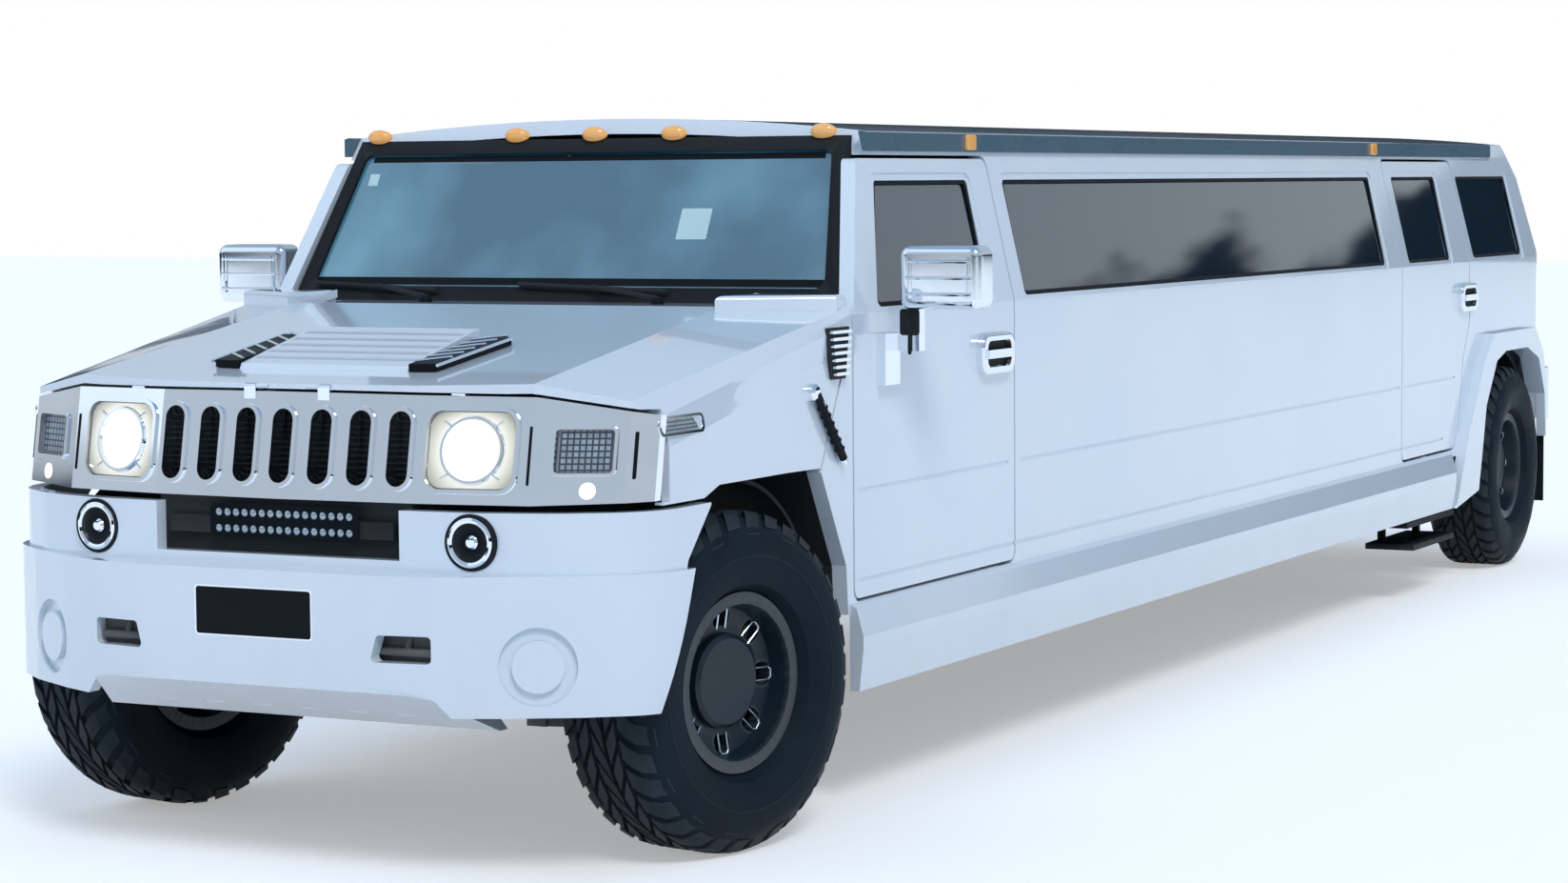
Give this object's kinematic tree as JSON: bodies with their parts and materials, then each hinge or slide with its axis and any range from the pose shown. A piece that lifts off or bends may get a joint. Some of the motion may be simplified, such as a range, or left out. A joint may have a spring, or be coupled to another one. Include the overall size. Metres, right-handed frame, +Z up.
{
  "type": "stretch limousine",
  "caption": "Stretched off-road limousine body on four block-tread wheels, with hinged side doors, front-hinged bonnet, tailgate and steered front wheels.",
  "frame": {"origin": "on the ground under the middle of the vehicle's overall length and width", "axes": "+Z up, the vehicle faces -Y, +X is its left side"},
  "size_m": [2.6, 9.157, 1.962],
  "materials": {
    "white_paint": "gloss",
    "black_plastic": "matte",
    "chrome": "polished",
    "rail_grey": "satin",
    "dark_glass": "polished",
    "lamp_glass": "polished",
    "red_lamp": "gloss",
    "frame_steel": "satin",
    "cast_iron": "rough",
    "tyre_rubber": "matte",
    "rubber": "matte",
    "wheel_black": "satin",
    "seat_leather": "satin",
    "trim_grey": "matte"
  },
  "bodies": {
    "chassis": {"chassis_frame": "frame_steel", "floor_pan": "black_plastic", "wheel_liners": "black_plastic", "engine_block": "cast_iron", "radiator": "frame_steel", "underbody": "frame_steel", "rear_axle": "frame_steel", "front_suspension": "frame_steel", "cowl_and_bulkhead": "black_plastic", "windscreen_frame": "black_plastic", "fixed_glass": "dark_glass", "side_panel_left": "white_paint", "side_panel_right": "white_paint", "roof": "white_paint", "rear_frame": "white_paint", "roof_rails": "rail_grey", "lamp_panel": "chrome", "front_lamps": "lamp_glass", "front_bumper": "white_paint", "skid_panel": "white_paint", "cowl_panel": "white_paint", "light_bar": "black_plastic", "rear_bumper": "white_paint", "rear_lamps": "red_lamp", "sill_skirts": "white_paint", "entry_steps": "black_plastic", "mud_flaps": "rubber", "dashboard": "trim_grey", "front_seats": "seat_leather", "partition": "trim_grey", "lounge_seats": "seat_leather", "bar_cabinet": "trim_grey", "tailgate_pins": "frame_steel"},
    "bonnet": {"bonnet": "white_paint", "bonnet_louvre": "white_paint"},
    "tailgate": {"tailgate": "white_paint", "tailgate_glass": "dark_glass"},
    "front_door_left": {"front_door_left": "white_paint", "front_door_glass_left": "dark_glass", "front_door_fittings_left": "chrome"},
    "front_door_right": {"front_door_right": "white_paint", "front_door_glass_right": "dark_glass", "front_door_fittings_right": "chrome"},
    "rear_door_left": {"rear_door_left": "white_paint", "rear_door_glass_left": "dark_glass", "rear_door_fittings_left": "chrome"},
    "rear_door_right": {"rear_door_right": "white_paint", "rear_door_glass_right": "dark_glass", "rear_door_fittings_right": "chrome"},
    "wheel_front_left": {"tyre_front_left": "tyre_rubber", "rim_front_left": "wheel_black"},
    "wheel_front_right": {"tyre_front_right": "tyre_rubber", "rim_front_right": "wheel_black"},
    "wheel_rear_left": {"tyre_rear_left": "tyre_rubber", "rim_rear_left": "wheel_black"},
    "wheel_rear_right": {"tyre_rear_right": "tyre_rubber", "rim_rear_right": "wheel_black"},
    "knuckle_left": {"knuckle_left": "cast_iron"},
    "knuckle_right": {"knuckle_right": "cast_iron"}
  },
  "joints": [
    {"name": "steer_left", "type": "hinge", "parent": "chassis", "child": "knuckle_left", "pos_m": [0.812, -3.7365, 0.455], "axis": [0, 0, 1], "range_deg": [-21, 45]},
    {"name": "steer_right", "type": "hinge", "parent": "chassis", "child": "knuckle_right", "pos_m": [-0.812, -3.7365, 0.455], "axis": [0, 0, 1], "range_deg": [-21, 45]},
    {"name": "roll_front_left", "type": "hinge", "parent": "knuckle_left", "child": "wheel_front_left", "pos_m": [0.87069, -3.74897, 0.455], "axis": [0.9781, -0.2079, 0], "continuous": true},
    {"name": "roll_front_right", "type": "hinge", "parent": "knuckle_right", "child": "wheel_front_right", "pos_m": [-0.87069, -3.72403, 0.455], "axis": [0.9781, -0.2079, 0], "continuous": true},
    {"name": "roll_rear_left", "type": "hinge", "parent": "chassis", "child": "wheel_rear_left", "pos_m": [0.872, 3.7885, 0.455], "axis": [1, 0, 0], "continuous": true},
    {"name": "roll_rear_right", "type": "hinge", "parent": "chassis", "child": "wheel_rear_right", "pos_m": [-0.872, 3.7885, 0.455], "axis": [1, 0, 0], "continuous": true},
    {"name": "front_door_left_hinge", "type": "hinge", "parent": "chassis", "child": "front_door_left", "pos_m": [0.97, -3.0565, 0.6], "axis": [0, 0, -1], "range_deg": [0, 65]},
    {"name": "front_door_right_hinge", "type": "hinge", "parent": "chassis", "child": "front_door_right", "pos_m": [-0.97, -3.0565, 0.6], "axis": [0, 0, 1], "range_deg": [0, 65]},
    {"name": "rear_door_left_hinge", "type": "hinge", "parent": "chassis", "child": "rear_door_left", "pos_m": [0.97, 2.1785, 0.6], "axis": [0, 0, -1], "range_deg": [0, 65]},
    {"name": "rear_door_right_hinge", "type": "hinge", "parent": "chassis", "child": "rear_door_right", "pos_m": [-0.97, 2.1785, 0.6], "axis": [0, 0, 1], "range_deg": [0, 65]},
    {"name": "bonnet_hinge", "type": "hinge", "parent": "chassis", "child": "bonnet", "pos_m": [0, -4.4065, 1.253], "axis": [1, 0, 0], "range_deg": [0, 60]},
    {"name": "tailgate_hinge", "type": "hinge", "parent": "chassis", "child": "tailgate", "pos_m": [0, 4.1685, 1.793], "axis": [1, 0, 0], "range_deg": [0, 85]}
  ],
  "couplings": [
    {"joint": "steer_right", "follows": "steer_left", "ratio": 1}
  ]
}
